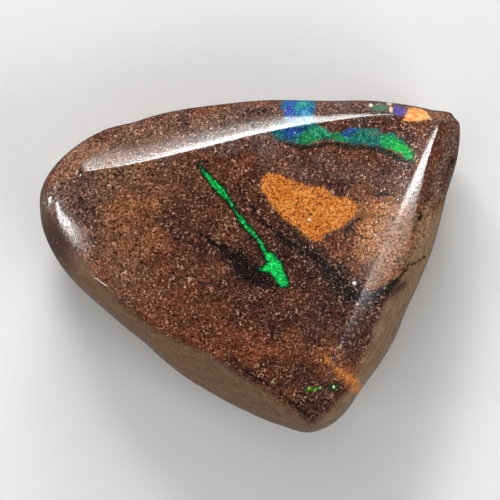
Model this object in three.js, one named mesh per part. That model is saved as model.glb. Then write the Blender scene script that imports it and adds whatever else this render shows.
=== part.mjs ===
// Polished boulder opal, a freeform stone: brown ironstone with seams of precious opal.
// The stone is one solid. It is ground flat underneath, and its upper side is a low dome cut back
// by five bevels, each of which meets the dome along a crease. The opal seams and the orange
// patches lie flush with the polish, so they are colour only and have no shape here.
//
// Frame: millimetres, +Z up, the flat base on Z = 0, +X along the long way of the stone.

import * as THREE from "three";

// Driving sizes, in millimetres

const STONE_HEIGHT = 8.6;
const GIRDLE_HEIGHT = 4.4;           // where the stone is widest
const DOME_TOP = [1.0, 0.0];         // highest place of the dome, in plan
const DOME_RADIUS_X = 120;
const DOME_RADIUS_Y = 95;
const UPPER_WALL_RADIUS = 7.0;       // how the side rolls in above the girdle
const LOWER_WALL_RADIUS = 2.75;      // and below it
const SHOULDER_SOFTNESS = 0.9;       // rounding between bevels and side
const BASE_EDGE_SOFTNESS = 0.8;      // rounding between side and flat base

// Outline in plan at the girdle, anticlockwise from the right-hand corner.
// The three points near the corner at the top right hold its small chips.

const OUTLINE = [
  [14.9, 8.25], [15.0, 9.6], [14.95, 10.2], [14.6, 10.6], [14.3, 10.95], [12.9, 11.17],
  [9.3, 11.75], [5.4, 11.8], [1.5, 11.85], [-2.8, 11.46], [-8.0, 10.37], [-10.4, 9.72],
  [-12.8, 8.28], [-14.2, 6.83], [-14.92, 5.4], [-15.0, 4.1], [-14.75, 2.5], [-13.75, 0.4],
  [-11.1, -2.5], [-9.25, -4.1], [-7.1, -5.87], [-3.55, -8.62], [-0.7, -10.18], [2.2, -11.4],
  [4.0, -11.9], [5.3, -11.6], [6.45, -10.82], [8.25, -8.4], [10.75, -4.2], [11.4, -2.65],
  [12.7, 0.3], [13.95, 4.72],
];

// Corners of the top face, where two creases meet

const TOP_RIGHT = [13.6, 10.35];
const UPPER_LEFT = [-12.1, 6.65];
const LEFT_TIP = [-14.55, 4.3];
const BOTTOM_TIP = [4.4, -11.1];
const RIGHT_MIDDLE = [10.9, -0.2];

// Bevels. Each crease runs anticlockwise from corner to corner. Past it the surface falls at
// `slope`, and rolls further down with the radius `roll`. `softness` rounds the crease.

const BEVELS = {
  upper: {
    crease: [TOP_RIGHT, [10.75, 10.85], [5.75, 10.25], [0.9, 9.4], [-3.55, 8.3], [-8.55, 7.2],
      UPPER_LEFT],
    slope: 0.45, roll: 6.0, softness: 0.03,
  },
  upperLeft: {
    crease: [UPPER_LEFT, [-13.3, 5.7], LEFT_TIP],
    slope: 0.5, roll: 4.0, softness: 0.15,
  },
  lowerLeft: {
    crease: [LEFT_TIP, [-13.55, 3.05], [-11.75, 0.65], [-10.3, -1.25], [-7.1, -4.1],
      [-5.3, -5.0], [-2.6, -6.2], [-0.7, -7.55], [1.7, -9.05], BOTTOM_TIP],
    slope: 0.65, roll: 5.0, softness: 0.05,
  },
  lowerRight: {
    crease: [BOTTOM_TIP, [6.8, -8.75], [8.05, -6.05], [8.9, -3.75], RIGHT_MIDDLE],
    slope: 0.7, roll: 5.0, softness: 0.08,
  },
  right: {
    crease: [RIGHT_MIDDLE, [11.6, 2.4], [12.1, 4.8], [12.7, 7.4], TOP_RIGHT],
    slope: 0.55, roll: 6.0, softness: 0.03,
  },
};

// Gentle rolls of the dome before it reaches the creases on the right and at the left tip, where
// the roll runs aslant, along the lower left crease

const RIGHT_ROLL = { edge: [[8.25, -1.4], [11.1, 4.8], [13.2, 9.65]], slope: 0.17, roll: 12.0 };
const LEFT_ROLL = {
  edge: [[-13.3, 5.9], [-11.6, 4.2], [-10.4, 2.6], [-9.9, 0.8], [-9.75, -1.2]],
  slope: 0.03, roll: 5.5,
};
const ROLL_SOFTNESS = 0.04;

// Rim: a narrow rounding that follows the outline

const RIM = { inset: 0.55, slope: 1.1, roll: 3.0, softness: 0.3 };

// Facets of the solid

const TOP_RINGS = 22;                // rings from the middle of the dome to the creases
const SIDE_ROWS_ABOVE = 8;           // rows from the creases to the girdle
const SIDE_ROWS_BELOW = 6;           // rows from the girdle to the base
const SIDE_PIVOT_INSET = 5.0;        // how far inside the outline the rows fan out from
const BASE_INSET = 4.3;              // how far inside the outline the flat base begins
const SEARCH_STEPS = 40;
const SEARCH_REACH = 12.0;

const STONE_COLOUR = 0x6b4630;

// Smooth curve through points (t, value), straight beyond its two ends

function smoothCurve(places, values) {
  const last = places.length - 1;
  const slopes = places.map((_, i) => {
    const before = Math.max(i - 1, 0);
    const after = Math.min(i + 1, last);
    return (values[after] - values[before]) / (places[after] - places[before]);
  });
  return (t) => {
    if (t <= places[0]) return values[0] + (t - places[0]) * slopes[0];
    if (t >= places[last]) return values[last] + (t - places[last]) * slopes[last];
    let i = 0;
    while (t > places[i + 1]) i += 1;
    const span = places[i + 1] - places[i];
    const u = (t - places[i]) / span;
    const v = 1 - u;
    return v * v * ((1 + 2 * u) * values[i] + u * span * slopes[i])
      + u * u * ((1 + 2 * v) * values[i + 1] - v * span * slopes[i + 1]);
  };
}

// Radius of the outline at an angle, from the points turned into angles and distances

function outlineRadius(points) {
  const polar = points
    .map(([x, y]) => [Math.atan2(y, x), Math.hypot(x, y)])
    .sort((a, b) => a[0] - b[0]);
  const turn = 2 * Math.PI;
  const before = polar.slice(-3).map(([angle, r]) => [angle - turn, r]);
  const after = polar.slice(0, 3).map(([angle, r]) => [angle + turn, r]);
  const ring = [...before, ...polar, ...after];
  const curve = smoothCurve(ring.map((p) => p[0]), ring.map((p) => p[1]));
  return (angle) => curve(Math.atan2(Math.sin(angle), Math.cos(angle)));
}

// Distance in plan past a line of points: positive on the right-hand side of its run

function distancePast(points) {
  const [startX, startY] = points[0];
  const [endX, endY] = points[points.length - 1];
  const length = Math.hypot(endX - startX, endY - startY);
  const alongX = (endX - startX) / length;
  const alongY = (endY - startY) / length;
  const along = (x, y) => (x - startX) * alongX + (y - startY) * alongY;
  const across = (x, y) => (x - startX) * alongY - (y - startY) * alongX;
  const bow = smoothCurve(
    points.map(([x, y]) => along(x, y)),
    points.map(([x, y]) => across(x, y)),
  );
  return (x, y) => across(x, y) - bow(along(x, y));
}

// The larger of two values, with the change from one to the other rounded off

function softMax(a, b, softness) {
  const blend = Math.max(1 - Math.abs(a - b) / softness, 0);
  return Math.max(a, b) + blend * blend * softness / 4;
}

function fallPast(distance, { slope, roll }) {
  const past = Math.max(distance, 0);
  return slope * distance + past * past / (2 * roll);
}

const radiusAt = outlineRadius(OUTLINE);
const pastRightRoll = distancePast(RIGHT_ROLL.edge);
const pastLeftRoll = distancePast(LEFT_ROLL.edge);
const bevels = Object.entries(BEVELS).map(([name, bevel]) => ({
  ...bevel,
  name,
  past: distancePast(bevel.crease),
}));

// How far the upper surface lies below the dome at a place in plan

function groundAway(x, y, pastOutline) {
  const rightRoll = fallPast(pastRightRoll(x, y), RIGHT_ROLL);
  let fall = softMax(0, fallPast(pastLeftRoll(x, y), LEFT_ROLL), ROLL_SOFTNESS);
  fall = softMax(fall, rightRoll, ROLL_SOFTNESS);
  for (const bevel of bevels) {
    const start = bevel.name === "right" ? rightRoll : 0;
    fall = softMax(fall, start + fallPast(bevel.past(x, y), bevel), bevel.softness);
  }
  return softMax(fall, fallPast(pastOutline + RIM.inset, RIM), RIM.softness);
}

// Negative inside the stone, positive outside

function stoneField(x, y, z) {
  const pastOutline = Math.hypot(x, y) - radiusAt(Math.atan2(y, x));
  const wallRadius = z > GIRDLE_HEIGHT ? UPPER_WALL_RADIUS : LOWER_WALL_RADIUS;
  const side = pastOutline + (z - GIRDLE_HEIGHT) ** 2 / (2 * wallRadius);
  const dome = STONE_HEIGHT
    - (x - DOME_TOP[0]) ** 2 / (2 * DOME_RADIUS_X)
    - (y - DOME_TOP[1]) ** 2 / (2 * DOME_RADIUS_Y);
  const top = z - dome + groundAway(x, y, pastOutline);
  return softMax(softMax(side, top, SHOULDER_SOFTNESS), -z, BASE_EDGE_SOFTNESS);
}

// Distance from a place inside the stone to its surface, along a direction

function reach(from, direction) {
  let inside = 0;
  let outside = SEARCH_REACH;
  for (let step = 0; step < SEARCH_STEPS; step += 1) {
    const middle = (inside + outside) / 2;
    const x = from[0] + direction[0] * middle;
    const y = from[1] + direction[1] * middle;
    const z = from[2] + direction[2] * middle;
    if (stoneField(x, y, z) < 0) inside = middle;
    else outside = middle;
  }
  return inside;
}

// Distance in plan from the middle to the creases, at an angle

function creaseRadius(angle) {
  let inside = 0;
  let outside = radiusAt(angle);
  for (let step = 0; step < SEARCH_STEPS; step += 1) {
    const middle = (inside + outside) / 2;
    const x = middle * Math.cos(angle);
    const y = middle * Math.sin(angle);
    if (Math.max(...bevels.map((bevel) => bevel.past(x, y))) < 0) inside = middle;
    else outside = middle;
  }
  return inside;
}

// Angles of the outermost top ring: even steps between corners, so that each corner has a point

function ringAngles(count) {
  const corners = [RIGHT_MIDDLE, TOP_RIGHT, UPPER_LEFT, LEFT_TIP, BOTTOM_TIP];
  const angles = corners.map(([x, y]) => Math.atan2(y, x));
  const firstAngle = angles[0];
  const turned = angles.map((angle) => (angle < firstAngle ? angle + 2 * Math.PI : angle));
  const lengths = corners.map(([x, y], i) => {
    const [nextX, nextY] = corners[(i + 1) % corners.length];
    return Math.hypot(nextX - x, nextY - y);
  });
  const total = lengths.reduce((sum, length) => sum + length, 0);
  const result = [];
  let travelled = 0;
  corners.forEach((_, i) => {
    const begin = Math.round(count * travelled / total);
    travelled += lengths[i];
    const end = Math.round(count * travelled / total);
    const from = turned[i];
    const to = i + 1 < corners.length ? turned[i + 1] : firstAngle + 2 * Math.PI;
    for (let step = begin; step < end; step += 1) {
      result.push(from + (to - from) * (step - begin) / (end - begin));
    }
  });
  return result;
}

// Top: a disc of rings, with six more points on each ring than on the one inside it

function topDisc(angles, vertices, faces) {
  const count = angles.length;
  const angleAt = (share) => {
    const place = share * count;
    const low = Math.floor(place) % count;
    const next = low + 1 < count ? angles[low + 1] : angles[0] + 2 * Math.PI;
    return angles[low] + (next - angles[low]) * (place - Math.floor(place));
  };
  const ringStart = (ring) => (ring === 0 ? 0 : 1 + 3 * ring * (ring - 1));
  const up = [0, 0, 1];
  vertices.push([0, 0, GIRDLE_HEIGHT + reach([0, 0, GIRDLE_HEIGHT], up)]);
  for (let ring = 1; ring <= TOP_RINGS; ring += 1) {
    for (let i = 0; i < 6 * ring; i += 1) {
      const angle = angleAt(i / (6 * ring));
      const radius = creaseRadius(angle) * ring / TOP_RINGS;
      const from = [radius * Math.cos(angle), radius * Math.sin(angle), GIRDLE_HEIGHT];
      vertices.push([from[0], from[1], from[2] + reach(from, up)]);
    }
  }
  for (let ring = 1; ring <= TOP_RINGS; ring += 1) {
    const outerStart = ringStart(ring);
    const innerStart = ringStart(ring - 1);
    const innerCount = Math.max(6 * (ring - 1), 1);
    for (let sector = 0; sector < 6; sector += 1) {
      for (let i = 0; i < ring; i += 1) {
        const outer = outerStart + sector * ring + i;
        const outerNext = outerStart + (sector * ring + i + 1) % (6 * ring);
        const inner = innerStart + (sector * (ring - 1) + i) % innerCount;
        faces.push([inner, outer, outerNext]);
        if (i < ring - 1) {
          const innerNext = innerStart + (sector * (ring - 1) + i + 1) % innerCount;
          faces.push([inner, outerNext, innerNext]);
        }
      }
    }
  }
  return ringStart(TOP_RINGS);
}

// Side: rows of points that fan out from a pivot inside the girdle, down to the flat base

function sideRows(angles, topRing, vertices, faces) {
  const count = angles.length;
  const rows = SIDE_ROWS_ABOVE + SIDE_ROWS_BELOW;
  let previous = topRing;
  for (let row = 1; row <= rows; row += 1) {
    const start = vertices.length;
    angles.forEach((angle, i) => {
      const pivotRadius = radiusAt(angle) - SIDE_PIVOT_INSET;
      const pivot = [pivotRadius * Math.cos(angle), pivotRadius * Math.sin(angle), GIRDLE_HEIGHT];
      const [creaseX, creaseY, creaseZ] = vertices[topRing + i];
      const rise = creaseZ - GIRDLE_HEIGHT;
      const run = Math.hypot(creaseX, creaseY) - pivotRadius;
      const baseRun = SIDE_PIVOT_INSET - BASE_INSET;
      const tilt = row <= SIDE_ROWS_ABOVE
        ? Math.atan2(rise, run) * (1 - row / SIDE_ROWS_ABOVE)
        : Math.atan2(-GIRDLE_HEIGHT, baseRun) * (row - SIDE_ROWS_ABOVE) / SIDE_ROWS_BELOW;
      const direction = [
        Math.cos(tilt) * Math.cos(angle),
        Math.cos(tilt) * Math.sin(angle),
        Math.sin(tilt),
      ];
      const distance = reach(pivot, direction);
      const point = pivot.map((value, axis) => value + direction[axis] * distance);
      if (row === rows) point[2] = 0;
      vertices.push(point);
    });
    for (let i = 0; i < count; i += 1) {
      const next = (i + 1) % count;
      faces.push([previous + i, start + i, start + next]);
      faces.push([previous + i, start + next, previous + next]);
    }
    previous = start;
  }
  return previous;
}

// Base: one flat face, fanned out from its middle

function flatBase(count, edge, vertices, faces) {
  const middle = vertices.length;
  vertices.push([0, 0, 0]);
  for (let i = 0; i < count; i += 1) faces.push([middle, edge + (i + 1) % count, edge + i]);
}

function stoneGeometry() {
  const vertices = [];
  const faces = [];
  const angles = ringAngles(6 * TOP_RINGS);
  const topRing = topDisc(angles, vertices, faces);
  const baseEdge = sideRows(angles, topRing, vertices, faces);
  flatBase(angles.length, baseEdge, vertices, faces);
  const geometry = new THREE.BufferGeometry();
  geometry.setAttribute("position", new THREE.Float32BufferAttribute(vertices.flat(), 3));
  geometry.setIndex(faces.flat());
  geometry.computeVertexNormals();
  return geometry;
}

// Polished ironstone: dark brown, no metal in it, with a glassy polish

function ironstone() {
  return new THREE.MeshStandardMaterial({ color: STONE_COLOUR, roughness: 0.25, metalness: 0 });
}

const boulderOpal = new THREE.Group();
const stone = new THREE.Mesh(stoneGeometry(), ironstone());
stone.name = "boulder_opal";
boulderOpal.add(stone);

export default boulderOpal;
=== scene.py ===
import math

import bpy
import numpy as np
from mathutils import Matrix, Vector


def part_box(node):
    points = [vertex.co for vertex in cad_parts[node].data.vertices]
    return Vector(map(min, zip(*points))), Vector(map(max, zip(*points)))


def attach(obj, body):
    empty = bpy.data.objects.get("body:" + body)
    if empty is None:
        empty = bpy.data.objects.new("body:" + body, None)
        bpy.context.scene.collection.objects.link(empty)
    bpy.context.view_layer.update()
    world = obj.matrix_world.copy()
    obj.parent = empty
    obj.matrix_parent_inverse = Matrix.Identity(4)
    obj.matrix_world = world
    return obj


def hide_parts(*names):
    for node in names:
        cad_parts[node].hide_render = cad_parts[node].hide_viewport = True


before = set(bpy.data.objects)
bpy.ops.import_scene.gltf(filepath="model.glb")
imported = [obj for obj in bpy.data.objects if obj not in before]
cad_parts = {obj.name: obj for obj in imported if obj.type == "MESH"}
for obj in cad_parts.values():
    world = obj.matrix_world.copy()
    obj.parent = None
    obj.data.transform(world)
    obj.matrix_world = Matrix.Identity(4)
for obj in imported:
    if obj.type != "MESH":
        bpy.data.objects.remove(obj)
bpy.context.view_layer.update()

# Ground stone: one freeform of brown ironstone, sawn flat underneath and ground by hand into a low dome
# with five bevels round it, then polished. Sizes are in millimetres, in the stone's own frame: X along
# its length, Z up, the flat base on Z = 0. Its surface is found along rays from inside the stone.

MM = 0.001
STONE_HEIGHT = 8.6
GIRDLE_HEIGHT = 4.4
DOME_TOP = (1.0, 0.0)
DOME_RADIUS = (120.0, 95.0)
UPPER_WALL_RADIUS = 7.0
LOWER_WALL_RADIUS = 2.75
SHOULDER_SOFTNESS = 0.9
BASE_EDGE_SOFTNESS = 0.8

OUTLINE = [
    (14.9, 8.25), (15.0, 9.6), (14.95, 10.2), (14.6, 10.6), (14.3, 10.95), (12.9, 11.17),
    (9.3, 11.75), (5.4, 11.8), (1.5, 11.85), (-2.8, 11.46), (-8.0, 10.37), (-10.4, 9.72),
    (-12.8, 8.28), (-14.2, 6.83), (-14.92, 5.4), (-15.0, 4.1), (-14.75, 2.5), (-13.75, 0.4),
    (-11.1, -2.5), (-9.25, -4.1), (-7.1, -5.87), (-3.55, -8.62), (-0.7, -10.18), (2.2, -11.4),
    (4.0, -11.9), (5.3, -11.6), (6.45, -10.82), (8.25, -8.4), (10.75, -4.2), (11.4, -2.65),
    (12.7, 0.3), (13.95, 4.72),
]

TOP_RIGHT = (13.6, 10.35)
UPPER_LEFT = (-12.1, 6.65)
LEFT_TIP = (-14.55, 4.3)
BOTTOM_TIP = (4.4, -11.1)
RIGHT_MIDDLE = (10.9, -0.2)

# Each bevel has its crease, its slope there, the radius it rolls on with, and how soft the crease is.

BEVELS = {
    "upper": ([TOP_RIGHT, (10.75, 10.85), (5.75, 10.25), (0.9, 9.4), (-3.55, 8.3), (-8.55, 7.2),
               UPPER_LEFT], 0.45, 6.0, 0.03),
    "upper_left": ([UPPER_LEFT, (-13.3, 5.7), LEFT_TIP], 0.5, 4.0, 0.15),
    "lower_left": ([LEFT_TIP, (-13.55, 3.05), (-11.75, 0.65), (-10.3, -1.25), (-7.1, -4.1),
                    (-5.3, -5.0), (-2.6, -6.2), (-0.7, -7.55), (1.7, -9.05), BOTTOM_TIP],
                   0.65, 5.0, 0.05),
    "lower_right": ([BOTTOM_TIP, (6.8, -8.75), (8.05, -6.05), (8.9, -3.75), RIGHT_MIDDLE],
                    0.7, 5.0, 0.08),
    "right": ([RIGHT_MIDDLE, (11.6, 2.4), (12.1, 4.8), (12.7, 7.4), TOP_RIGHT], 0.55, 6.0, 0.03),
}
RIGHT_ROLL = ([(8.25, -1.4), (11.1, 4.8), (13.2, 9.65)], 0.17, 12.0)
LEFT_ROLL = ([(-13.3, 5.9), (-11.6, 4.2), (-10.4, 2.6), (-9.9, 0.8), (-9.75, -1.2)], 0.03, 5.5)
ROLL_SOFTNESS = 0.04
RIM_INSET, RIM_SLOPE, RIM_ROLL, RIM_SOFTNESS = 0.55, 1.1, 3.0, 0.3

TOP_RINGS = 128
SECTORS = 6
SIDE_ROWS_ABOVE = 28
SIDE_ROWS_BELOW = 14
SIDE_ROW_CROWDING = 1.3
BASE_RINGS = 5
SIDE_PIVOT_INSET = 5.0
BASE_INSET = 4.3
SEARCH_STEPS = 30
SEARCH_REACH = 12.0


def smooth_curve(places, values):
    """A smooth curve through points, straight beyond its two ends."""
    places = np.array(places)
    values = np.array(values)
    wide = (values[2:] - values[:-2]) / (places[2:] - places[:-2]) if len(values) > 2 else []
    ends = np.diff(values) / np.diff(places)
    slopes = np.concatenate([ends[:1], wide, ends[-1:]])

    def curve(t):
        i = np.clip(np.searchsorted(places, t, side="right") - 1, 0, len(places) - 2)
        span = places[i + 1] - places[i]
        u = (t - places[i]) / span
        v = 1 - u
        between = (v * v * ((1 + 2 * u) * values[i] + u * span * slopes[i])
                   + u * u * ((1 + 2 * v) * values[i + 1] - v * span * slopes[i + 1]))
        before = values[0] + (t - places[0]) * slopes[0]
        after = values[-1] + (t - places[-1]) * slopes[-1]
        return np.where(t < places[0], before, np.where(t > places[-1], after, between))

    return curve


def outline_radius(points):
    """Radius of the outline in plan, as a function of the angle round the stone."""
    polar = sorted((math.atan2(y, x), math.hypot(x, y)) for x, y in points)
    before = [(angle - math.tau, radius) for angle, radius in polar[-3:]]
    after = [(angle + math.tau, radius) for angle, radius in polar[:3]]
    curve = smooth_curve(*zip(*(before + polar + after)))
    return lambda angle: curve(np.arctan2(np.sin(angle), np.cos(angle)))


def distance_past(points):
    """Distance in plan past a line of points, positive on the right-hand side of its run."""
    start = np.array(points[0])
    along = np.array(points[-1]) - start
    along = along / np.hypot(*along)

    def split(x, y):
        dx = x - start[0]
        dy = y - start[1]
        return dx * along[0] + dy * along[1], dx * along[1] - dy * along[0]

    bow = smooth_curve(*zip(*(split(x, y) for x, y in points)))

    def past(x, y):
        forward, sideways = split(x, y)
        return sideways - bow(forward)

    return past


def soft_max(a, b, softness):
    """The larger of two values, with the change from one to the other rounded off."""
    blend = np.maximum(1 - np.abs(a - b) / softness, 0)
    return np.maximum(a, b) + blend * blend * softness / 4


def fall_past(distance, slope, roll):
    """How far a bevel has fallen at a distance past its crease."""
    past = np.maximum(distance, 0)
    return slope * distance + past * past / (2 * roll)


radius_at = outline_radius(OUTLINE)
past_right_roll = distance_past(RIGHT_ROLL[0])
past_left_roll = distance_past(LEFT_ROLL[0])
past_bevel = {name: distance_past(bevel[0]) for name, bevel in BEVELS.items()}


def ground_away(x, y, past_outline):
    """How far the upper surface lies below the dome."""
    right_roll = fall_past(past_right_roll(x, y), *RIGHT_ROLL[1:])
    fall = soft_max(0, fall_past(past_left_roll(x, y), *LEFT_ROLL[1:]), ROLL_SOFTNESS)
    fall = soft_max(fall, right_roll, ROLL_SOFTNESS)
    for name, (_, slope, roll, softness) in BEVELS.items():
        start = right_roll if name == "right" else 0
        fall = soft_max(fall, start + fall_past(past_bevel[name](x, y), slope, roll), softness)
    return soft_max(fall, fall_past(past_outline + RIM_INSET, RIM_SLOPE, RIM_ROLL), RIM_SOFTNESS)


def stone_field(x, y, z):
    """Negative inside the stone, positive outside."""
    past_outline = np.hypot(x, y) - radius_at(np.arctan2(y, x))
    wall_radius = np.where(z > GIRDLE_HEIGHT, UPPER_WALL_RADIUS, LOWER_WALL_RADIUS)
    side = past_outline + (z - GIRDLE_HEIGHT) ** 2 / (2 * wall_radius)
    dome = (STONE_HEIGHT - (x - DOME_TOP[0]) ** 2 / (2 * DOME_RADIUS[0])
            - (y - DOME_TOP[1]) ** 2 / (2 * DOME_RADIUS[1]))
    top = z - dome + ground_away(x, y, past_outline)
    return soft_max(soft_max(side, top, SHOULDER_SOFTNESS), -z, BASE_EDGE_SOFTNESS)


def surface_from(places, directions):
    """Points of the surface, seen from places inside the stone."""
    inside = np.zeros(len(places))
    outside = np.full(len(places), SEARCH_REACH)
    for _ in range(SEARCH_STEPS):
        middle = (inside + outside) / 2
        within = stone_field(*(places + directions * middle[:, None]).T) < 0
        inside = np.where(within, middle, inside)
        outside = np.where(within, outside, middle)
    return places + directions * inside[:, None]


def crease_radius(angles):
    """Distance in plan from the middle of the stone to its creases."""
    inside = np.zeros(len(angles))
    outside = radius_at(angles)
    for _ in range(SEARCH_STEPS):
        middle = (inside + outside) / 2
        x = middle * np.cos(angles)
        y = middle * np.sin(angles)
        within = np.max([past(x, y) for past in past_bevel.values()], axis=0) < 0
        inside = np.where(within, middle, inside)
        outside = np.where(within, outside, middle)
    return inside


def ring_angles(count):
    """Angles round the stone, with one on every corner and even steps between them."""
    corners = np.array([RIGHT_MIDDLE, TOP_RIGHT, UPPER_LEFT, LEFT_TIP, BOTTOM_TIP, RIGHT_MIDDLE])
    turns = np.unwrap(np.arctan2(corners[:, 1], corners[:, 0]))
    travelled = np.cumsum(np.hypot(*np.diff(corners, axis=0).T))
    marks = np.concatenate([[0], np.round(count * travelled / travelled[-1])])
    return np.interp(np.arange(count + 1), marks, turns)


def top_disc(turns):
    """Rings over the dome, with one more point in each sector than on the ring inside."""
    angles = [np.zeros(1)]
    shares = [np.zeros(1)]
    for ring in range(1, TOP_RINGS + 1):
        steps = np.arange(SECTORS * ring) * TOP_RINGS / ring
        angles.append(np.interp(steps, np.arange(len(turns)), turns))
        shares.append(np.full(SECTORS * ring, ring / TOP_RINGS))
    angles = np.concatenate(angles)
    radii = crease_radius(angles) * np.concatenate(shares)
    places = np.stack([radii * np.cos(angles), radii * np.sin(angles),
                       np.full(len(radii), GIRDLE_HEIGHT)], axis=1)
    faces = []
    inner = 0
    for ring in range(1, TOP_RINGS + 1):
        outer = 1 + SECTORS * ring * (ring - 1) // 2
        count = SECTORS * ring
        inner_count = max(count - SECTORS, 1)
        for i in range(count):
            sector, step = divmod(i, ring)
            near = inner + (sector * (ring - 1) + step) % inner_count
            next_near = inner + (sector * (ring - 1) + step + 1) % inner_count
            next_out = outer + (i + 1) % count
            faces.append((near, outer + i, next_out))
            if step < ring - 1:
                faces.append((near, next_out, next_near))
        inner = outer
    return surface_from(places, np.tile([0.0, 0.0, 1.0], (len(places), 1))), faces, inner


def side_rows(turns, crease):
    """Rows from the creases over the girdle to the base, fanned out from a pivot inside."""
    angles = turns[:-1]
    pivot_radius = radius_at(angles) - SIDE_PIVOT_INSET
    outward = np.stack([np.cos(angles), np.sin(angles), np.zeros(len(angles))], axis=1)
    pivots = outward * pivot_radius[:, None] + np.array([0, 0, GIRDLE_HEIGHT])
    crease_run = np.hypot(crease[:, 0], crease[:, 1]) - pivot_radius
    crease_tilt = np.arctan2(crease[:, 2] - GIRDLE_HEIGHT, crease_run)
    base_tilt = math.atan2(-GIRDLE_HEIGHT, SIDE_PIVOT_INSET - BASE_INSET)
    tilts = [crease_tilt * (1 - (row / SIDE_ROWS_ABOVE) ** SIDE_ROW_CROWDING)
             for row in range(1, SIDE_ROWS_ABOVE + 1)]
    tilts += [np.full(len(angles), base_tilt * row / SIDE_ROWS_BELOW)
              for row in range(1, SIDE_ROWS_BELOW + 1)]
    rows = []
    for tilt in tilts:
        ways = outward * np.cos(tilt)[:, None]
        ways[:, 2] = np.sin(tilt)
        rows.append(surface_from(pivots, ways))
    rows[-1][:, 2] = 0
    return rows


def stone_mesh():
    """Points and faces of the stone: dome, side, and flat base with a closed middle."""
    count = SECTORS * TOP_RINGS
    turns = ring_angles(count)
    top, faces, start = top_disc(turns)
    rows = side_rows(turns, top[start:])
    rows += [rows[-1] * (1 - ring / BASE_RINGS) for ring in range(1, BASE_RINGS)]
    made = len(top)
    for row in rows:
        for i in range(count):
            after = (i + 1) % count
            faces.append((start + i, made + i, made + after))
            faces.append((start + i, made + after, start + after))
        start = made
        made += count
    faces += [(made, start + (i + 1) % count, start + i) for i in range(count)]
    return np.concatenate([top, *rows, np.zeros((1, 3))]), faces


stone_points, stone_faces = stone_mesh()

# Hand-ground surface: the wheel left the polished face very slightly wavy, and grains of sand broke out
# of it. The upper bevel starts a little steeper towards its left end. The larger pits are where the
# photo shows them: place in the photo's pixels, half length and half width in mm, turn in degrees, depth.

WAVE_SEED = 7
WAVE_COUNT = 18
WAVE_LENGTHS = (2.5, 8.0)
WAVE_HEIGHT = 0.012
WORKED_ABOVE_GIRDLE = 1.5
TAPER_SLOPE = 0.12
TAPER_REACH = 0.5
TAPER_START, TAPER_LENGTH = -4.6, 6.4
PIXELS_PER_MM = 14.0
PHOTO_MIDDLE = (249.5, 265.4)
LARGE_PITS = [
    ((80.5, 172.5), 0.20, 0.12, 100, 0.16),
    ((251.0, 124.0), 0.17, 0.08, -30, 0.02),
    ((418.5, 216.5), 0.20, 0.08, 40, 0.09),
    ((451.5, 161.0), 0.20, 0.10, 60, 0.08),
    ((310.0, 214.0), 0.12, 0.09, 20, 0.07),
    ((454.0, 115.5), 0.26, 0.14, -50, 0.12),
]


def on_stone(place):
    """A place in the photo's pixels, in millimetres on the stone."""
    return (place[0] - PHOTO_MIDDLE[0]) / PIXELS_PER_MM, (PHOTO_MIDDLE[1] - place[1]) / PIXELS_PER_MM


def along_and_across(points, place, turn):
    """Distances in mm from a place in the photo, along and across a line turned by some degrees."""
    x, y = on_stone(place)
    way = math.radians(turn)
    from_x = points[:, 0] - x
    from_y = points[:, 1] - y
    return (from_x * math.cos(way) + from_y * math.sin(way),
            from_y * math.cos(way) - from_x * math.sin(way))


def hand_ground(points):
    """The points with the waves and the larger pits taken out of the upper face, and the pits' share."""
    worked = points.copy()
    holes = np.zeros(len(points))
    upper = np.clip((points[:, 2] - GIRDLE_HEIGHT) / WORKED_ABOVE_GIRDLE, 0, 1)
    chance = np.random.default_rng(WAVE_SEED)
    wave = np.zeros(len(points))
    for _ in range(WAVE_COUNT):
        turn = chance.uniform(0, math.tau)
        length = chance.uniform(*WAVE_LENGTHS)
        start = chance.uniform(0, math.tau)
        along = points[:, 0] * math.cos(turn) + points[:, 1] * math.sin(turn)
        wave += np.sin(along * math.tau / length + start) * length / WAVE_LENGTHS[1]
    worked[:, 2] -= WAVE_HEIGHT * (1 - wave / math.sqrt(WAVE_COUNT)) * upper
    past_crease = np.maximum(past_bevel["upper"](points[:, 0], points[:, 1]), 0)
    steeper = TAPER_SLOPE * np.clip((TAPER_START - points[:, 0]) / TAPER_LENGTH, 0, 1)
    worked[:, 2] -= steeper * TAPER_REACH * (1 - np.exp(-past_crease / TAPER_REACH)) * upper
    for place, half_length, half_width, turn, depth in LARGE_PITS:
        along, across = along_and_across(points, place, turn)
        hole = np.exp(-(along / half_length) ** 2 - (across / half_width) ** 2) * (upper > 0)
        worked[:, 2] -= depth * hole
        holes = np.maximum(holes, hole)
    return worked, holes


lowest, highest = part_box("boulder_opal")
stone_points, large_holes = hand_ground(stone_points)
stone_points = np.clip(stone_points, np.array(lowest) / MM, np.array(highest) / MM)
ground = bpy.data.meshes.new("ground_stone")
ground.from_pydata((stone_points * MM).tolist(), [], stone_faces)

# Seams and patches: precious opal, orange ironstone and dark cracks that run through the stone and were
# cut flush by the polish, so they are colour only. Each is drawn by its middle line (x, y, width) or
# its edge (x, y) in the photo's pixels, and kept on the mesh as the distance to its edge in mm.

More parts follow.
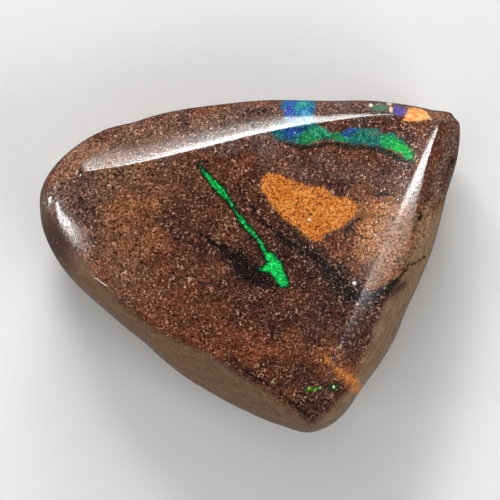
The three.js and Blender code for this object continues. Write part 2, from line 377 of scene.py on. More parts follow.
GREEN_SEAM = [
    (198, 164, 1), (201, 168, 2), (205, 173.5, 5), (209.5, 179, 6), (216, 186, 8), (222, 192, 8.5),
    (226.5, 198, 5), (230.5, 203, 4), (235.5, 212, 2.5), (241, 219.5, 6), (246, 226.5, 6),
    (252, 232, 5), (256.5, 238, 4), (261, 243, 4), (263, 250, 5),
]
GREEN_BLOB = [
    (262, 251), (269, 251), (277, 257), (282, 264), (284, 271), (287, 277), (288.5, 284),
    (287, 287), (281, 287), (277, 284), (273, 277), (268, 272), (262, 271), (257, 269),
    (262, 266), (266.5, 262), (264.5, 258),
]
OPAL_BAND = [
    (280, 88), (280, 100), (281, 108), (283, 114), (282, 120), (272, 125), (270, 132), (272, 137),
    (280, 140), (292, 143), (305, 146), (315, 143), (325, 140), (333, 140.5), (343, 143),
    (353, 145), (363.5, 145), (376, 147), (385, 149), (393.5, 151), (399, 154.5), (402, 158),
    (406, 159.5), (411, 161), (413, 157), (411, 151), (407, 144), (402.5, 139), (396.5, 135),
    (391, 132), (386.5, 133), (380, 133), (378, 127), (370, 128), (362, 127.5), (355, 126),
    (349, 127), (340, 131.5), (332, 133), (325, 128), (318, 124.5), (312, 120), (314, 115),
    (315, 108), (316, 102), (316, 88),
]
ORANGE_PATCH = [
    (260, 186.5), (262, 178), (267, 173), (276, 174), (284, 176.5), (293, 180.5), (301, 184),
    (313, 186.5), (324, 187.5), (330, 192), (337, 197), (348, 197.5), (354.5, 204), (355, 210),
    (352, 215.5), (347, 222), (340, 227), (331, 230.5), (325, 234.5), (319, 240.5), (314, 241),
    (306, 236), (299, 229.5), (291, 224), (284, 219.5), (278, 214), (272, 206), (267, 198),
    (262, 191.5),
]
ORANGE_SPOT = [
    (402, 121.5), (404, 116), (406, 111), (409, 108), (415.5, 107.5), (420, 108.5), (425, 111.5),
    (428, 116), (427, 119.7), (412, 120.7),
]
# Cracks by the orange patch and at both ends and the line under the opal band; painted shade in the holes
# and along the lower crease

DARK_CRACKS_AND_SHADE = [
    [(358, 218, 3), (352, 222, 3), (347, 228, 3.5), (344, 240, 1.5)],
    [(350, 228, 2), (362, 238, 1.5)],
    [(370, 196, 1.5), (383, 194, 2), (395, 195, 1.5)],
    [(268, 192, 1.5), (278, 186, 1)],
    [(304, 192, 1.5), (307, 188.5, 1)],
    [(83, 160, 0.8), (80.5, 172, 1.6), (83, 179, 0.8)],
    [(385, 290, 4), (400, 275, 2.5), (408, 264, 2), (415, 262, 1.8), (424, 256, 1.5)],
    [(283, 143.5, 2), (300, 147.5, 5), (312, 146.5, 4.5), (330, 143.5, 4), (350, 147, 5),
     (365, 147, 5), (385, 151, 5), (397, 158, 5), (411, 162.5, 3.5)],
    # Painted shade: dark inside the larger holes
    [(248, 122.5, 2.5), (251, 124, 3.5), (255, 127, 1.5)],
    [(418.5, 212, 2), (421, 216, 2.5), (419, 219, 2.5), (415, 220.5, 1.5)],
    [(450.5, 157, 2), (452.5, 163, 2.5)],
    [(307, 212, 1.5), (312, 215, 2)],
    # Painted shade along the inner side of the lower crease
    [(242, 369, 1.5), (262, 380, 2.5), (280, 392, 2), (297, 406, 3), (309, 416, 2)],
]
DARK_BANDS = [
    [(240, 190, 1), (262, 222, 3), (283, 238, 4), (300, 250, 6), (325, 264, 6), (333, 272, 5),
     (343, 285, 5), (351, 296, 11), (358, 298, 10), (370, 295, 6), (385, 290, 6), (396, 280, 4)],
    [(193, 230, 2), (205, 236, 3), (215, 243, 4), (228, 252, 6), (238, 262, 14), (250, 272, 18),
     (262, 279, 10), (274, 284, 4)],
]
ORANGE_STREAK = [(318, 350, 1), (332, 364, 4), (342, 374, 9), (351, 380, 10), (357, 388, 10), (369, 391, 5)]
SOFT_SHADES = [
    [(181, 121, 8), (186, 124, 9)],
    [(248, 113, 6), (264, 110, 4)],
    [(197, 159, 5), (212, 164, 4)],
    [(330, 270, 12), (348, 292, 22), (370, 300, 12), (400, 284, 8)],
    [(218, 246, 8), (245, 268, 26), (268, 284, 16)],
    [(280, 226, 6), (300, 243, 9), (325, 258, 9)],
    [(409, 136, 6), (412, 150, 5), (408, 166, 5)],
    [(78, 198, 2), (86, 212, 3), (98, 204, 2)],
    [(155, 216, 4), (180, 238, 6), (205, 250, 4)],
]


def distance_to_strokes(points, strokes):
    """Distance in plan to the edge of the nearest of several tapered strokes."""
    nearest = np.full(len(points), 1e3)
    for stroke in strokes:
        marks = [(*on_stone(mark), mark[2] / PIXELS_PER_MM / 2) for mark in stroke]
        for (ax, ay, a_half), (bx, by, b_half) in zip(marks, marks[1:]):
            dx, dy = bx - ax, by - ay
            from_x, from_y = points[:, 0] - ax, points[:, 1] - ay
            share = np.clip((from_x * dx + from_y * dy) / (dx * dx + dy * dy), 0, 1)
            gap = np.hypot(from_x - share * dx, from_y - share * dy)
            nearest = np.minimum(nearest, gap - a_half - share * (b_half - a_half))
    return nearest


def distance_to_patch(points, edge):
    """Distance in plan to the edge of a closed patch, negative inside it."""
    nearest = distance_to_strokes(points, [[(*mark, 0) for mark in [*edge, edge[0]]]])
    inside = np.zeros(len(points), bool)
    corners = [on_stone(mark) for mark in edge]
    for (ax, ay), (bx, by) in zip(corners, corners[1:] + corners[:1]):
        if ay != by:
            crosses = (ay > points[:, 1]) != (by > points[:, 1])
            inside ^= crosses & (points[:, 0] < ax + (points[:, 1] - ay) * (bx - ax) / (by - ay))
    return np.where(inside, -nearest, nearest)


def keep_on_stone(name, values):
    """Keeps one number for each point of the stone, for the finish to read."""
    layer = ground.attributes.new(name, "FLOAT", "POINT")
    layer.data.foreach_set("value", np.asarray(values, np.float32))


keep_on_stone("green_seam", np.minimum(distance_to_strokes(stone_points, [GREEN_SEAM]),
                                       distance_to_patch(stone_points, GREEN_BLOB)))
keep_on_stone("opal_band", distance_to_patch(stone_points, OPAL_BAND))
keep_on_stone("orange_patch", distance_to_patch(stone_points, ORANGE_PATCH))
keep_on_stone("orange_spot", distance_to_patch(stone_points, ORANGE_SPOT))
keep_on_stone("cracks_and_shade_lines", distance_to_strokes(stone_points, DARK_CRACKS_AND_SHADE))
keep_on_stone("dark_bands", distance_to_strokes(stone_points, DARK_BANDS))
keep_on_stone("orange_streak", distance_to_strokes(stone_points, [ORANGE_STREAK]))
keep_on_stone("soft_shades", distance_to_strokes(stone_points, SOFT_SHADES))
keep_on_stone("large_holes", large_holes)

# Facets: the lower bevels and the side, where the sand lies under a smoother polish. Kept as the
# distance past the lower creases in mm, which below the girdle goes on growing down to the base.

below_girdle = np.maximum(GIRDLE_HEIGHT - stone_points[:, 2], 0)
past_lower = np.maximum(past_bevel["lower_left"](stone_points[:, 0], stone_points[:, 1]),
                        past_bevel["lower_right"](stone_points[:, 0], stone_points[:, 1]))
keep_on_stone("past_lower", np.clip(past_lower, -3, 3) + below_girdle)

# Sandy parts: the rolls at the right and at the left tip, where the grain stands open in the polish.
# Each has its place in the photo's pixels, its half sizes in mm, its turn and its share.

SANDY_EVERYWHERE = 0.25
SANDY_PLACES = [
    ((390, 243), (3.4, 1.4), 62, 0.75),
    ((84, 238), (1.5, 1.1), -50, 0.45),
    ((112, 160), (2.4, 0.8), 15, 0.40),
]
sandy_share = np.full(len(stone_points), SANDY_EVERYWHERE)
for place, half_sizes, turn, share in SANDY_PLACES:
    along, across = along_and_across(stone_points, place, turn)
    sandy_share += share * np.exp(-(along / half_sizes[0]) ** 2 - (across / half_sizes[1]) ** 2)
keep_on_stone("sandy", sandy_share)

# Sand pits: where single grains of sand fell out of the polished face. They are scattered over the
# stone by Geometry Nodes, more of them in the sandy parts, and each is sunk into the surface.

PIT_SPACING = 0.55
PIT_RADIUS = 0.12
PIT_DEPTH = 0.018
PIT_SEED = 11
PIT_RAGGEDNESS = 0.4


class Layer:
    """One socket of a node tree. Arithmetic on it adds Math nodes to the tree."""

    def __init__(self, tree, socket=None):
        self.tree = tree
        self.socket = socket

    def node(self, kind, settings, sockets, output=0):
        """Adds a node, makes its settings, then feeds its sockets with values or layers."""
        made = self.tree.nodes.new(kind)
        for name, value in settings.items():
            setattr(made, name, value)
        for key, value in sockets.items():
            if isinstance(value, Layer):
                self.tree.links.new(value.socket, made.inputs[key])
            else:
                made.inputs[key].default_value = value
        return Layer(self.tree, made.outputs[output])

    def math(self, operation, *values):
        return self.node("ShaderNodeMath", {"operation": operation}, dict(enumerate(values)))

    def __add__(self, other):
        return self.math("ADD", self, other)

    def __sub__(self, other):
        return self.math("SUBTRACT", self, other)

    def __mul__(self, other):
        return self.math("MULTIPLY", self, other)

    def __truediv__(self, other):
        return self.math("DIVIDE", self, other)

    def __rsub__(self, other):
        return self.math("SUBTRACT", other, self)

    __radd__ = __add__
    __rmul__ = __mul__

    def fade(self, none, full):
        """Goes smoothly from 0 where this is `none` to 1 where it is `full`."""
        return self.node("ShaderNodeMapRange", {"interpolation_type": "SMOOTHSTEP"},
                         {0: self, 1: none, 2: full, 3: 0.0, 4: 1.0})


def sand_pit_tree():
    """Scatters points over a mesh and sinks a small round hole at each."""
    tree = bpy.data.node_groups.new("sand_pits", "GeometryNodeTree")
    for name, kind in (("Stone", "Geometry"), ("Spacing", "Float"), ("Radius", "Float"),
                       ("Depth", "Float"), ("Seed", "Int"), ("Finish", "Material")):
        tree.interface.new_socket(name, in_out="INPUT", socket_type="NodeSocket" + kind)
    tree.interface.new_socket("Stone", in_out="OUTPUT", socket_type="NodeSocketGeometry")
    supplied = tree.nodes.new("NodeGroupInput")
    stone, spacing, radius, depth, seed, finish = (Layer(tree, socket) for socket in supplied.outputs[:6])
    blank = Layer(tree)
    sandy = blank.node("GeometryNodeInputNamedAttribute", {"data_type": "FLOAT"}, {"Name": "sandy"})
    grains = blank.node("GeometryNodeDistributePointsOnFaces", {"distribute_method": "POISSON"},
                        {"Mesh": stone, "Distance Min": spacing, "Density Max": 9e6,
                         "Density Factor": sandy, "Seed": seed})
    chance = blank.node("FunctionNodeRandomValue", {"data_type": "FLOAT"},
                        {2: 0.35, 3: 1.0, "Seed": seed}, 1)
    nearest = blank.node("GeometryNodeSampleNearest", {"domain": "POINT"}, {0: grains})
    size = blank.node("GeometryNodeSampleIndex", {"data_type": "FLOAT", "domain": "POINT"},
                      {"Geometry": grains, "Value": chance, "Index": nearest})
    distance = blank.node("GeometryNodeProximity", {"target_element": "POINTS"}, {0: grains}, "Distance")
    rough = blank.node("ShaderNodeTexNoise", {}, {"Scale": 1 / (PIT_RAGGEDNESS * MM), "Detail": 1.0})
    hollow = (distance / (radius * size) * (rough + 0.5)).fade(1.0, 0.2)
    sunk = blank.node("ShaderNodeVectorMath", {"operation": "SCALE"},
                      {0: blank.node("GeometryNodeInputNormal", {}, {}),
                       "Scale": hollow * size * depth * -1.0})
    kept = blank.node("GeometryNodeStoreNamedAttribute", {"data_type": "FLOAT", "domain": "POINT"},
                      {"Geometry": stone, "Name": "sand_pit", "Value": hollow * size})
    moved = blank.node("GeometryNodeSetPosition", {}, {"Geometry": kept, "Offset": sunk})
    whole = blank.node("GeometryNodeRealizeInstances", {}, {"Geometry": moved})
    finished = blank.node("GeometryNodeSetMaterial", {}, {"Geometry": whole, "Material": finish})
    result = tree.nodes.new("NodeGroupOutput")
    tree.links.new(finished.socket, result.inputs[0])
    return tree


def with_sand_pits(mesh, finish):
    """A plain mesh with the pits sunk into it and the finish on it."""
    carrier = bpy.data.objects.new("ground_stone", mesh)
    bpy.context.scene.collection.objects.link(carrier)
    tree = sand_pit_tree()
    pits = carrier.modifiers.new("sand_pits", "NODES")
    pits.node_group = tree
    sizes = {"Spacing": PIT_SPACING * MM, "Radius": PIT_RADIUS * MM, "Depth": PIT_DEPTH * MM,
             "Seed": PIT_SEED, "Finish": finish}
    for item in tree.interface.items_tree:
        if item.in_out == "INPUT" and item.name in sizes:
            pits[item.identifier] = sizes[item.name]
    seen = bpy.context.evaluated_depsgraph_get()
    pitted = bpy.data.meshes.new_from_object(carrier.evaluated_get(seen), preserve_all_data_layers=True,
                                             depsgraph=seen)
    bpy.data.objects.remove(carrier)
    return pitted


# Ironstone finish: fine sand grains of pink, tan and orange in a dark brown iron matrix, polished to a
# gloss, with clouds of darker and warmer tone and a few of painted sheen. The seams and patches are laid
# into it. The back is lapped flat and left satin.

OVAL_HEIGHT, OVAL_DEPTH = 7.5, 6.0
WANDER_WAVES = 10

finish = bpy.data.materials.new("polished_ironstone")
finish.use_nodes = True
finish.node_tree.nodes.clear()
blank = Layer(finish.node_tree)


def paint(red, green, blue):
    """A colour given by its screen values from 0 to 255."""
    shares = [value / 255 for value in (red, green, blue)]
    return (*[share / 12.92 if share < 0.04045 else ((share + 0.055) / 1.055) ** 2.4
              for share in shares], 1.0)


def vectors(operation, *values):
    output = "Value" if operation == "LENGTH" else "Vector"
    return blank.node("ShaderNodeVectorMath", {"operation": operation}, dict(enumerate(values)), output)


def enlarged(vector, factor):
    return blank.node("ShaderNodeVectorMath", {"operation": "SCALE"}, {0: vector, "Scale": factor})


def mixed(share, under, over):
    """The colour `over` laid on the colour `under`, by a share from 0 to 1."""
    return blank.node("ShaderNodeMix", {"data_type": "RGBA"}, {0: share, 6: under, 7: over}, 2)


def noise(places, size, detail=2.0, output=0):
    """Soft noise with clouds of a size in mm."""
    return blank.node("ShaderNodeTexNoise", {}, {"Vector": places, "Scale": 1 / size, "Detail": detail},
                      output)


def warped(places, size, reach):
    """Places pushed about by noise, so that an edge drawn through them wanders."""
    push = enlarged(vectors("SUBTRACT", noise(places, size, 2.0, 1), (0.5, 0.5, 0.5)), 2 * reach)
    return vectors("ADD", places, push)


def kept(name):
    return blank.node("ShaderNodeAttribute", {"attribute_name": name}, {}, "Fac")


def cloud(places, place, half_sizes, turn, soft=0.6, level=OVAL_HEIGHT):
    """One inside an oval at a place in the photo, fading to 0 at its edge; sizes are in pixels."""
    x, y = on_stone(place)
    halves = [half / PIXELS_PER_MM for half in half_sizes]
    centred = blank.node("ShaderNodeMapping", {"vector_type": "TEXTURE"},
                         {"Vector": places, "Location": (x, y, level),
                          "Rotation": (0, 0, math.radians(turn)), "Scale": (*halves, OVAL_DEPTH)})
    return vectors("LENGTH", centred).fade(1 + soft, 1 - soft)


metres = blank.node("ShaderNodeTexCoord", {}, {}, "Object")
places = enlarged(metres, 1 / MM)
height = blank.node("ShaderNodeSeparateXYZ", {}, {0: places}, "Z")
ragged = warped(warped(places, 0.9, 0.16), 0.25, 0.05)


def wandered(points, size, reach, seed):
    """Points pushed about by smooth waves of a size in mm, so that an edge drawn through them wanders."""
    chance = np.random.default_rng(seed)
    moved = points.copy()
    for axis in range(3):
        for _ in range(WANDER_WAVES):
            way = chance.normal(size=3) * math.tau / size / 2
            start = chance.uniform(0, math.tau)
            moved[:, axis] += reach * np.sin(points @ way + start) / math.sqrt(WANDER_WAVES / 2)
    return moved


def keep_tones_on_stone(name, points, tones, soft):
    """Keeps soft ovals of colour laid over one another, and the share left of what lies under them."""
    kept_tones = np.tile([0.0, 0.0, 0.0, 1.0], (len(points), 1))
    for place, half_sizes, turn, colour, strength in tones:
        along, across = along_and_across(points, place, turn)
        gap = np.hypot(np.hypot(along / half_sizes[0], across / half_sizes[1]) * PIXELS_PER_MM,
                       (points[:, 2] - OVAL_HEIGHT) / OVAL_DEPTH)
        share = np.clip((1 + soft - gap) / (2 * soft), 0, 1)
        share = (share * share * (3 - 2 * share) * strength)[:, None]
        kept_tones *= 1 - share
        kept_tones[:, :3] += share * np.array(paint(*colour)[:3])
    layer = ground.attributes.new(name, "FLOAT_COLOR", "POINT")
    layer.data.foreach_set("color", kept_tones.astype(np.float32).ravel())


def laid_over(name, under):
    """The kept tones laid over a colour."""
    tones = blank.node("ShaderNodeAttribute", {"attribute_name": name}, {}, "Color")
    share_left = blank.node("ShaderNodeAttribute", {"attribute_name": name}, {}, "Alpha")
    return vectors("ADD", tones, enlarged(under, share_left))


# Clouds of tone in the matrix, and a few of painted sheen: place and half sizes in the photo's pixels,
# turn, colour, strength

MATRIX_DARK = paint(84, 45, 33)
MATRIX_WARM = paint(124, 68, 40)
CLOUDS = [
    ((100, 165), (62, 26), 22, (134, 98, 74), 0.85),
    ((150, 135), (66, 17), 15, (116, 82, 66), 0.85),
    # Partly the upper bevel's own tone, partly a painted grey reflection on it
    ((235, 122), (55, 16), 10, (100, 78, 66), 0.85),
    ((360, 112), (60, 12), -3, (90, 76, 72), 0.85),
    ((85, 212), (34, 26), -30, (112, 86, 78), 0.85),
    ((138, 224), (38, 36), 0, (156, 98, 60), 0.85),
    ((165, 184), (36, 16), 15, (140, 94, 70), 0.7),
    ((200, 200), (46, 28), -30, (84, 48, 36), 0.7),
    ((215, 262), (58, 34), -28, (104, 62, 44), 0.6),
    ((126, 274), (48, 26), -40, (138, 96, 74), 0.8),
    ((188, 312), (52, 26), -28, (116, 66, 42), 0.8),
    ((265, 308), (60, 22), -16, (78, 42, 34), 0.7),
    ((262, 346), (62, 16), -14, (134, 72, 42), 0.85),
    ((335, 325), (46, 28), -20, (74, 44, 38), 0.75),
    ((322, 168), (80, 16), -8, (108, 76, 66), 0.8),
    ((300, 262), (58, 20), -28, (50, 31, 29), 0.85),
    ((379, 238), (25, 42), -12, (194, 126, 74), 1.0),
    ((398, 192), (24, 18), 0, (100, 68, 54), 0.75),
    ((446, 160), (15, 50), -10, (124, 100, 86), 0.85),
    ((428, 236), (17, 38), -20, (188, 142, 102), 0.9),
    ((436, 112), (34, 14), -10, (134, 92, 72), 0.7),
    ((304, 380), (34, 18), -30, (72, 44, 36), 0.7),
    ((340, 277), (20, 11), -35, (56, 34, 30), 0.85),
    ((345, 370), (28, 17), -38, (152, 90, 50), 0.85),
    ((359, 370), (8, 13), -25, (164, 122, 84), 0.8),
    ((366, 392), (12, 7), -25, (170, 110, 60), 0.8),
    ((318, 402), (30, 14), -30, (72, 46, 38), 0.85),
    # Partly tone, partly painted sheen along the ridge highlight
    ((228, 139), (80, 14), 9, (114, 92, 84), 0.75),
    ((314, 342), (22, 12), -14, (138, 82, 50), 0.6),
    # Painted sheen: a grey highlight glow at the left tip
    ((56, 206), (9, 30), 8, (140, 126, 118), 0.6),
    ((353, 266), (13, 15), -35, (92, 58, 42), 0.6),
]
brown = mixed(noise(places, 3.5, 4.0).fade(0.35, 0.68), MATRIX_DARK, MATRIX_WARM)
keep_tones_on_stone("clouds", wandered(stone_points, 2.6, 0.5, 3), CLOUDS, 0.6)
brown = laid_over("clouds", brown)

# Lower facets: greyer and smoother, tan to the right and olive brown to the left

facet = (kept("past_lower") + (noise(places, 1.2) - 0.5) * 0.5).fade(-0.1, 0.5)
right_side = blank.node("ShaderNodeSeparateXYZ", {}, {0: ragged}, "X").fade(2.0, 7.0)
facet_colour = mixed(right_side, paint(128, 106, 82), paint(156, 130, 100))
streaks = noise(vectors("MULTIPLY", places, (1.0, 1.0, 3.5)), 0.8, 4.0)
facet_colour = mixed(streaks.fade(0.38, 0.66) * 0.55, facet_colour, paint(94, 74, 56))
# Painted shade: the facet under the left tip is darker, standing in for the dim room it mirrors
facet_colour = mixed(cloud(ragged, (60, 236), (26, 30), 0, 0.6, 4.4), facet_colour, paint(74, 54, 50))
brown = mixed(facet * 0.85, brown, facet_colour)

# Dark bands and soft shades, which lie among the grains

upper = height.fade(3.4, 4.6)
bands = (kept("dark_bands") + (noise(places, 0.45, 5.0) - 0.5) * 0.9).fade(0.18, -0.16) * upper
shades = (kept("soft_shades") + (noise(places, 0.7, 5.0) - 0.5) * 1.2).fade(0.34, -0.22) * upper
brown = enlarged(brown, 1 + (noise(places, 0.8, 4.0).fade(0.34, 0.66) - 0.5) * (1 - facet) * 0.5)
brown = mixed(shades * 0.75, brown, paint(30, 20, 24))
brown = mixed(bands * 0.88, brown, paint(24, 15, 16))

# Sand grains: a fine mottle, pale and dark grains of a size and a half of sand, and a few bright sparks,
# partly pale grains and partly painted glints, all weaker under the smoother polish of the facets


def grains(size, none, full, shift):
    """One on irregular grains of a size in mm, in the part of the noise past a threshold."""
    return noise(vectors("ADD", places, (shift, shift, shift)), size, 1.0).fade(none, full)


def picked(size, share, shift):
    """A random number for each patch of a size in mm, 0 on all but a share of the patches."""
    cells = blank.node("ShaderNodeTexVoronoi", {}, {"Vector": vectors("ADD", places, (shift, 0, shift)),
                                                    "Scale": 1 / size}, "Color")
    return blank.node("ShaderNodeSeparateColor", {}, {0: cells}, 0).fade(1 - share, 1.0)


MOTTLE_SIZE = 0.17
PALE_GRAIN_SIZE, PALE_CLUMP_SIZE = 0.16, 0.34
SPARK_SIZE, SPARK_CLUMP_SIZE = 0.17, 0.28
DARK_GRAIN_SIZE = 0.19
STREWN_SIZE = 1.3

open_grain = 1 - facet * 0.8
mottle = noise(places, MOTTLE_SIZE, 4.0)
pale_grains = grains(PALE_GRAIN_SIZE, 0.57, 0.68, 3.1) * (0.3 + picked(PALE_CLUMP_SIZE, 0.8, 1.7) * 0.7)
strewn = 0.5 + noise(places, STREWN_SIZE, 3.0).fade(0.40, 0.62) * 0.5
sparks_and_glints = grains(SPARK_SIZE, 0.57, 0.65, 21.7) * picked(SPARK_CLUMP_SIZE, 0.6, 5.3) * strewn
dark_grains = grains(DARK_GRAIN_SIZE, 0.45, 0.33, 17.3)
pale_tone = vectors("MINIMUM", vectors("MULTIPLY", brown, (2.3, 2.15, 2.0)), (0.80, 0.50, 0.32))
pale_tone = mixed(0.34, pale_tone, paint(250, 186, 144))
stone_colour = mixed(mottle.fade(0.62, 0.34) * open_grain * 0.74, brown, paint(28, 16, 15))
stone_colour = mixed(dark_grains * open_grain * 0.78, stone_colour, paint(18, 10, 10))
stone_colour = mixed(pale_grains * open_grain * 0.85, stone_colour, pale_tone)
spark_and_glint_tone = mixed(0.7, pale_tone, paint(255, 208, 174))
stone_colour = mixed(sparks_and_glints * (0.75 - facet * 0.55), stone_colour, spark_and_glint_tone)
stone_colour = mixed(bands * 0.70, stone_colour, paint(20, 13, 14))

# Fine cracks, and painted shade in small holes and along the lower crease

cracks_and_shade = (kept("cracks_and_shade_lines") + (noise(places, 0.3, 3.0) - 0.5) * 0.34).fade(0.07, -0.05) * upper
stone_colour = mixed(cracks_and_shade * 0.85, stone_colour, paint(26, 24, 18))

# Orange ironstone: one large patch with a sandy grain, and a pale spot by the top right corner

orange = (kept("orange_patch") + (noise(places, 0.3, 5.0) - 0.5) * 0.5).fade(0.13, -0.15) * upper
orange_colour = mixed(noise(places, 0.9, 3.0).fade(0.3, 0.7), paint(224, 128, 44), paint(246, 160, 72))
orange_colour = mixed(mottle.fade(0.60, 0.36) * 0.85, orange_colour, paint(158, 76, 18))
orange_colour = mixed(dark_grains * 0.9, orange_colour, paint(92, 40, 12))
orange_colour = mixed(pale_grains * 0.6, orange_colour, paint(255, 190, 104))
stone_colour = mixed(orange, stone_colour, orange_colour)
spot = (kept("orange_spot") + (noise(ragged, 0.25, 4.0) - 0.5) * 0.7).fade(0.14, -0.14) * upper
spot_colour = mixed(noise(places, 0.35, 3.0).fade(0.35, 0.65), paint(236, 132, 66), paint(255, 196, 122))
stone_colour = mixed(spot, stone_colour, spot_colour)

# Orange streak: a short vein across the low right crease, which ends at the girdle

streak = (kept("orange_streak") + (noise(places, 0.5, 5.0) - 0.5) * 1.3).fade(0.28, -0.30) * upper
streak = streak * (height + noise(places, 0.7, 3.0) * 3.0).fade(5.2, 5.9)
streak_colour = mixed(mottle.fade(0.6, 0.38), paint(244, 152, 74), paint(176, 100, 46))
stone_colour = mixed(streak * 0.85, stone_colour, streak_colour)

# Small marks: opal chips and pale grains along the top edge, and green fire near the low corner

SMALL_MARKS = [
    ((379, 107.5), (8, 3.6), 0, (62, 122, 98), 0.7),
    ((398, 110.5), (8, 4.5), -15, (82, 74, 166), 0.75),
    ((370, 105), (1.8, 1.5), 0, (250, 226, 184), 0.9),
    ((389, 103), (3, 1.8), 0, (250, 226, 184), 0.9),
    ((390, 109.5), (1.8, 3), 0, (244, 206, 160), 0.8),
    # Painted glint: a white highlight spot on the polish
    ((353.5, 282.5), (2, 1.8), 0, (250, 236, 220), 1.0),
    ((308.5, 219.5), (1.5, 1.5), 0, (240, 226, 205), 0.9),
    ((333, 386), (4.2, 4.2), 0, (14, 60, 18), 0.95),
    ((333, 386), (1.4, 1.4), 0, (200, 255, 170), 1.0),
    ((312, 388), (8, 1.8), 12, (64, 112, 26), 0.7),
    ((308.5, 387), (1.5, 1.1), 0, (150, 210, 70), 0.9),
    ((314.5, 389), (1.5, 1.0), 20, (110, 200, 60), 0.9),
    ((319.5, 387), (1.1, 1.1), 0, (190, 230, 140), 0.8),
    ((272, 381), (1.6, 1.2), 0, (170, 200, 130), 0.7),
]
torn = warped(places, 0.22, 0.07)
topmost = height.fade(4.6, 5.4)
for place, half_sizes, turn, colour, strength in SMALL_MARKS:
    stone_colour = mixed(cloud(torn, place, half_sizes, turn, 0.5) * topmost * strength, stone_colour,
                         paint(*colour))

# Precious opal: the band over the top edge plays from violet and blue through teal to green, and the
# green seam is brightest where it is wide. Both have a near-black rim of dark potch.

BAND_COLOURS = [
    ((298, 108), (19, 14), 0, (34, 104, 178), 1.0),
    ((289, 110), (5, 6), 0, (62, 66, 176), 1.0),
    ((302, 105), (8, 5), 20, (36, 168, 146), 1.0),
    ((307, 116), (7, 4), 0, (96, 172, 214), 1.0),
    ((293, 133), (12, 6), 0, (42, 78, 168), 1.0),
    ((277, 134), (7, 6), 0, (26, 106, 116), 1.0),
    ((310, 138), (12, 7), 0, (28, 140, 76), 1.0),
    ((322, 131), (8, 5), -30, (58, 186, 140), 1.0),
    ((339, 137), (10, 5), 0, (34, 150, 84), 1.0),
    ((351, 132), (9, 6), 0, (42, 92, 176), 1.0),
    ((353.5, 135), (3, 3), 0, (16, 22, 66), 1.0),
    ((366, 136), (11, 8), 0, (34, 130, 112), 1.0),
    ((375, 131), (6, 4), 0, (92, 132, 118), 1.0),
    ((391, 134), (5, 3), 0, (54, 92, 184), 1.0),
    ((399, 149), (18, 8), -38, (22, 214, 84), 1.0),
    ((394, 153), (6, 3), -20, (120, 224, 70), 1.0),
    ((409, 141), (5, 5), 0, (44, 34, 84), 1.0),
]
opal_places = warped(places, 0.5, 0.18)
opal_colour = mixed(noise(opal_places, 0.8, 2.0).fade(0.35, 0.65), paint(20, 84, 104), paint(30, 138, 110))
keep_tones_on_stone("play_of_colour", wandered(stone_points, 0.7, 0.12, 5), BAND_COLOURS, 0.6)
opal_colour = laid_over("play_of_colour", opal_colour)
opal_grain = noise(opal_places, 0.17, 4.0)
opal_colour = enlarged(opal_colour, 0.30 + opal_grain.fade(0.34, 0.66) * 0.54)
opal_colour = mixed(grains(0.15, 0.60, 0.72, 9.2) * 0.4, opal_colour, paint(140, 236, 190))

band_edge = kept("opal_band") + (noise(ragged, 0.4, 4.0) - 0.5) * 0.6
band = band_edge.fade(0.10, -0.20) * (height + noise(places, 0.7, 3.0) * 2.4).fade(4.4, 5.0)
seam_edge = kept("green_seam") + (noise(places, 0.2, 4.0) - 0.5) * 0.44
seam = seam_edge.fade(0.03, -0.03) * upper
seam_core = seam_edge.fade(-0.03, -0.16)
seam_colour = mixed(seam_core, paint(8, 84, 44), paint(12, 196, 78))
seam_colour = mixed(opal_grain.fade(0.56, 0.38) * 0.8, seam_colour, paint(4, 78, 38))
at_blob = cloud(places, (273, 265), (13, 20), 35)
seam_colour = mixed(1 - at_blob, seam_colour, vectors("MULTIPLY", seam_colour, (0.62, 0.62, 0.62)))
seam_colour = mixed(grains(0.14, 0.57, 0.68, 4.4) * seam_core, seam_colour, paint(56, 250, 130))
potch = seam_edge.fade(0.17, 0.05) * upper * 0.85
stone_colour = mixed(potch, stone_colour, paint(12, 22, 16))
stone_colour = mixed(band, stone_colour, opal_colour)
stone_colour = mixed(seam, stone_colour, seam_colour)

# Pits are dark inside, painted shade in the hollows. The gloss is softer in sandy parts, and the lapped
# back is satin.

pit_shade = blank.math("MAXIMUM", kept("sand_pit").fade(0.15, 0.8), kept("large_holes").fade(0.12, 0.5) * 1.4)
stone_colour = mixed(pit_shade * 0.7 * (1 - facet * 0.7), stone_colour, paint(26, 16, 14))
opal_share = blank.math("MAXIMUM", band, seam)
# Painted light: the opal band and seam glow a little through emission, as if lit from within
glow = mixed(opal_share, (0, 0, 0, 1), mixed(seam, opal_colour, seam_colour))

POLISHED_ROUGHNESS, SANDY_ROUGHNESS, LAPPED_ROUGHNESS = 0.11, 0.22, 0.30
RELIEF_DEPTH = 0.012 * MM
STONE_IOR = 1.5
OPAL_GLOW = 0.22

lapped = height.fade(0.5, 0.1)
scratches = noise(vectors("MULTIPLY", places, (0.25, 6.0, 1.0)), 0.5, 3.0)
sandy = kept("sandy").fade(0.3, 1.0)
roughness = (POLISHED_ROUGHNESS + sandy * SANDY_ROUGHNESS + noise(places, 0.5, 3.0) * 0.06
             + pale_grains * 0.05 + lapped * LAPPED_ROUGHNESS)
relief = ((pale_grains + dark_grains * -1.0 + mottle * 1.2) * (0.22 + sandy * 1.1) * (1 - facet * 0.7)
          * (1 - opal_share * 0.7) + lapped * scratches * 1.2)
bump = blank.node("ShaderNodeBump", {}, {"Height": relief, "Distance": RELIEF_DEPTH, "Strength": 1.0})
surface = blank.node("ShaderNodeBsdfPrincipled", {}, {
    "Base Color": stone_colour, "Roughness": roughness, "IOR": STONE_IOR, "Normal": bump,
    "Emission Color": glow, "Emission Strength": OPAL_GLOW})
shown = finish.node_tree.nodes.new("ShaderNodeOutputMaterial")
finish.node_tree.links.new(surface.socket, shown.inputs["Surface"])

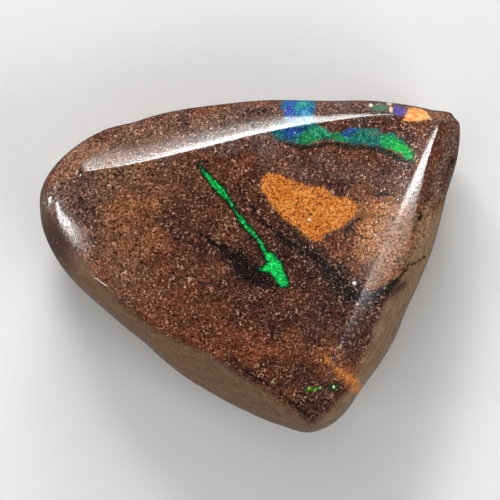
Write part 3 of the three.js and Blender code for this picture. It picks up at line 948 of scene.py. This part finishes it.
stone_mesh_finished = with_sand_pits(ground, finish)
stone_mesh_finished.name = "polished_stone"
stone_mesh_finished.shade_smooth()
polished_stone = bpy.data.objects.new("polished_stone", stone_mesh_finished)
bpy.context.scene.collection.objects.link(polished_stone)
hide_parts("boulder_opal")
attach(polished_stone, "root")

# Studio: a plain pale floor, soft white light from a dim room and a few softboxes, each of which shows
# as one highlight on a crease or roll of the stone, and a camera straight above it.

FLOOR_SIZE = 3.0
FLOOR_GAP = 0.00001
PAPER_COLOUR = paint(238, 238, 238)
PAPER_ROUGHNESS = 0.8
ROOM_WALLS = 0.12
ROOM_CEILING = 0.03
CAMERA_HEIGHT = 0.9
PHOTO_SIZE = 500
VIEW_WIDTH = PHOTO_SIZE / PIXELS_PER_MM * MM
VIEW_MIDDLE = [value * MM for value in on_stone((249.5, 249.5))]
SENSOR_WIDTH = 36.0

half = FLOOR_SIZE / 2
floor_mesh = bpy.data.meshes.new("floor")
floor_mesh.from_pydata([(-half, -half, -FLOOR_GAP), (half, -half, -FLOOR_GAP), (half, half, -FLOOR_GAP),
                        (-half, half, -FLOOR_GAP)], [], [(0, 1, 2, 3)])
paper = bpy.data.materials.new("pale_paper")
paper.use_nodes = True
sheet = paper.node_tree.nodes["Principled BSDF"]
sheet.inputs["Base Color"].default_value = PAPER_COLOUR
sheet.inputs["Roughness"].default_value = PAPER_ROUGHNESS
floor_mesh.materials.append(paper)
floor = bpy.data.objects.new("floor", floor_mesh)
bpy.context.scene.collection.objects.link(floor)
floor.visible_glossy = False

room = bpy.data.worlds.new("pale_room")
room.use_nodes = True
walls = Layer(room.node_tree)
around = walls.node("ShaderNodeTexCoord", {}, {}, "Generated")
upward = walls.node("ShaderNodeSeparateXYZ", {}, {0: around}, "Z")
room_tone = walls.node("ShaderNodeMix", {"data_type": "RGBA"},
                       {0: upward.fade(0.55, 0.92), 6: (ROOM_WALLS,) * 3 + (1.0,),
                        7: (ROOM_CEILING,) * 3 + (1.0,)}, 2)
room.node_tree.links.new(room_tone.socket, room.node_tree.nodes["Background"].inputs["Color"])
bpy.context.scene.world = room


def softbox(name, azimuth, from_zenith, half_wide, half_tall, brightness, distance=0.5):
    """A soft light seen from the stone in a direction, with its half sizes in degrees."""
    turn = math.radians(azimuth)
    lean = math.radians(from_zenith)
    away = Vector((math.sin(lean) * math.cos(turn), math.sin(lean) * math.sin(turn), math.cos(lean)))
    light = bpy.data.lights.new(name, "AREA")
    light.shape = "RECTANGLE"
    light.size = 2 * distance * math.tan(math.radians(half_wide))
    light.size_y = 2 * distance * math.tan(math.radians(half_tall))
    light.energy = brightness * math.pi * light.size * light.size_y
    lamp = bpy.data.objects.new(name, light)
    lamp.location = away * distance + Vector((0, 0, STONE_HEIGHT * MM))
    lamp.rotation_euler = away.to_track_quat("Z", "Y").to_euler()
    bpy.context.scene.collection.objects.link(lamp)
    return lamp


softbox("ridge_softbox", 104, 60.5, 8, 3.5, 36.0)
softbox("ridge_glow", 104, 66, 12, 8, 4.0)
softbox("corner_softbox", 88, 72, 7.5, 10.5, 17.0)
softbox("right_softbox", 8, 26.5, 6.5, 9, 30.0).visible_diffuse = False
softbox("right_glow", -9, 26, 8, 8, 4.0).visible_diffuse = False
softbox("left_softbox", 206, 53, 6.5, 5, 30.0).visible_diffuse = False
softbox("left_low_softbox", 184, 85, 4.5, 7, 34.0)

# The fills light the sand evenly but show in no polish, as light through a tent would.

softbox("fill", 110, 22, 24, 24, 0.98).visible_glossy = False
softbox("low_left_fill", 235, 60, 20, 16, 0.95).visible_glossy = False
softbox("low_right_fill", 325, 58, 20, 16, 3.5).visible_glossy = False

camera = bpy.data.cameras.new("above")
camera.sensor_width = SENSOR_WIDTH
camera.lens = SENSOR_WIDTH * (CAMERA_HEIGHT - GIRDLE_HEIGHT * MM) / VIEW_WIDTH
eye = bpy.data.objects.new("above", camera)
eye.location = (*VIEW_MIDDLE, CAMERA_HEIGHT)
bpy.context.scene.collection.objects.link(eye)
bpy.context.scene.camera = eye
bpy.context.scene.view_settings.view_transform = "Standard"
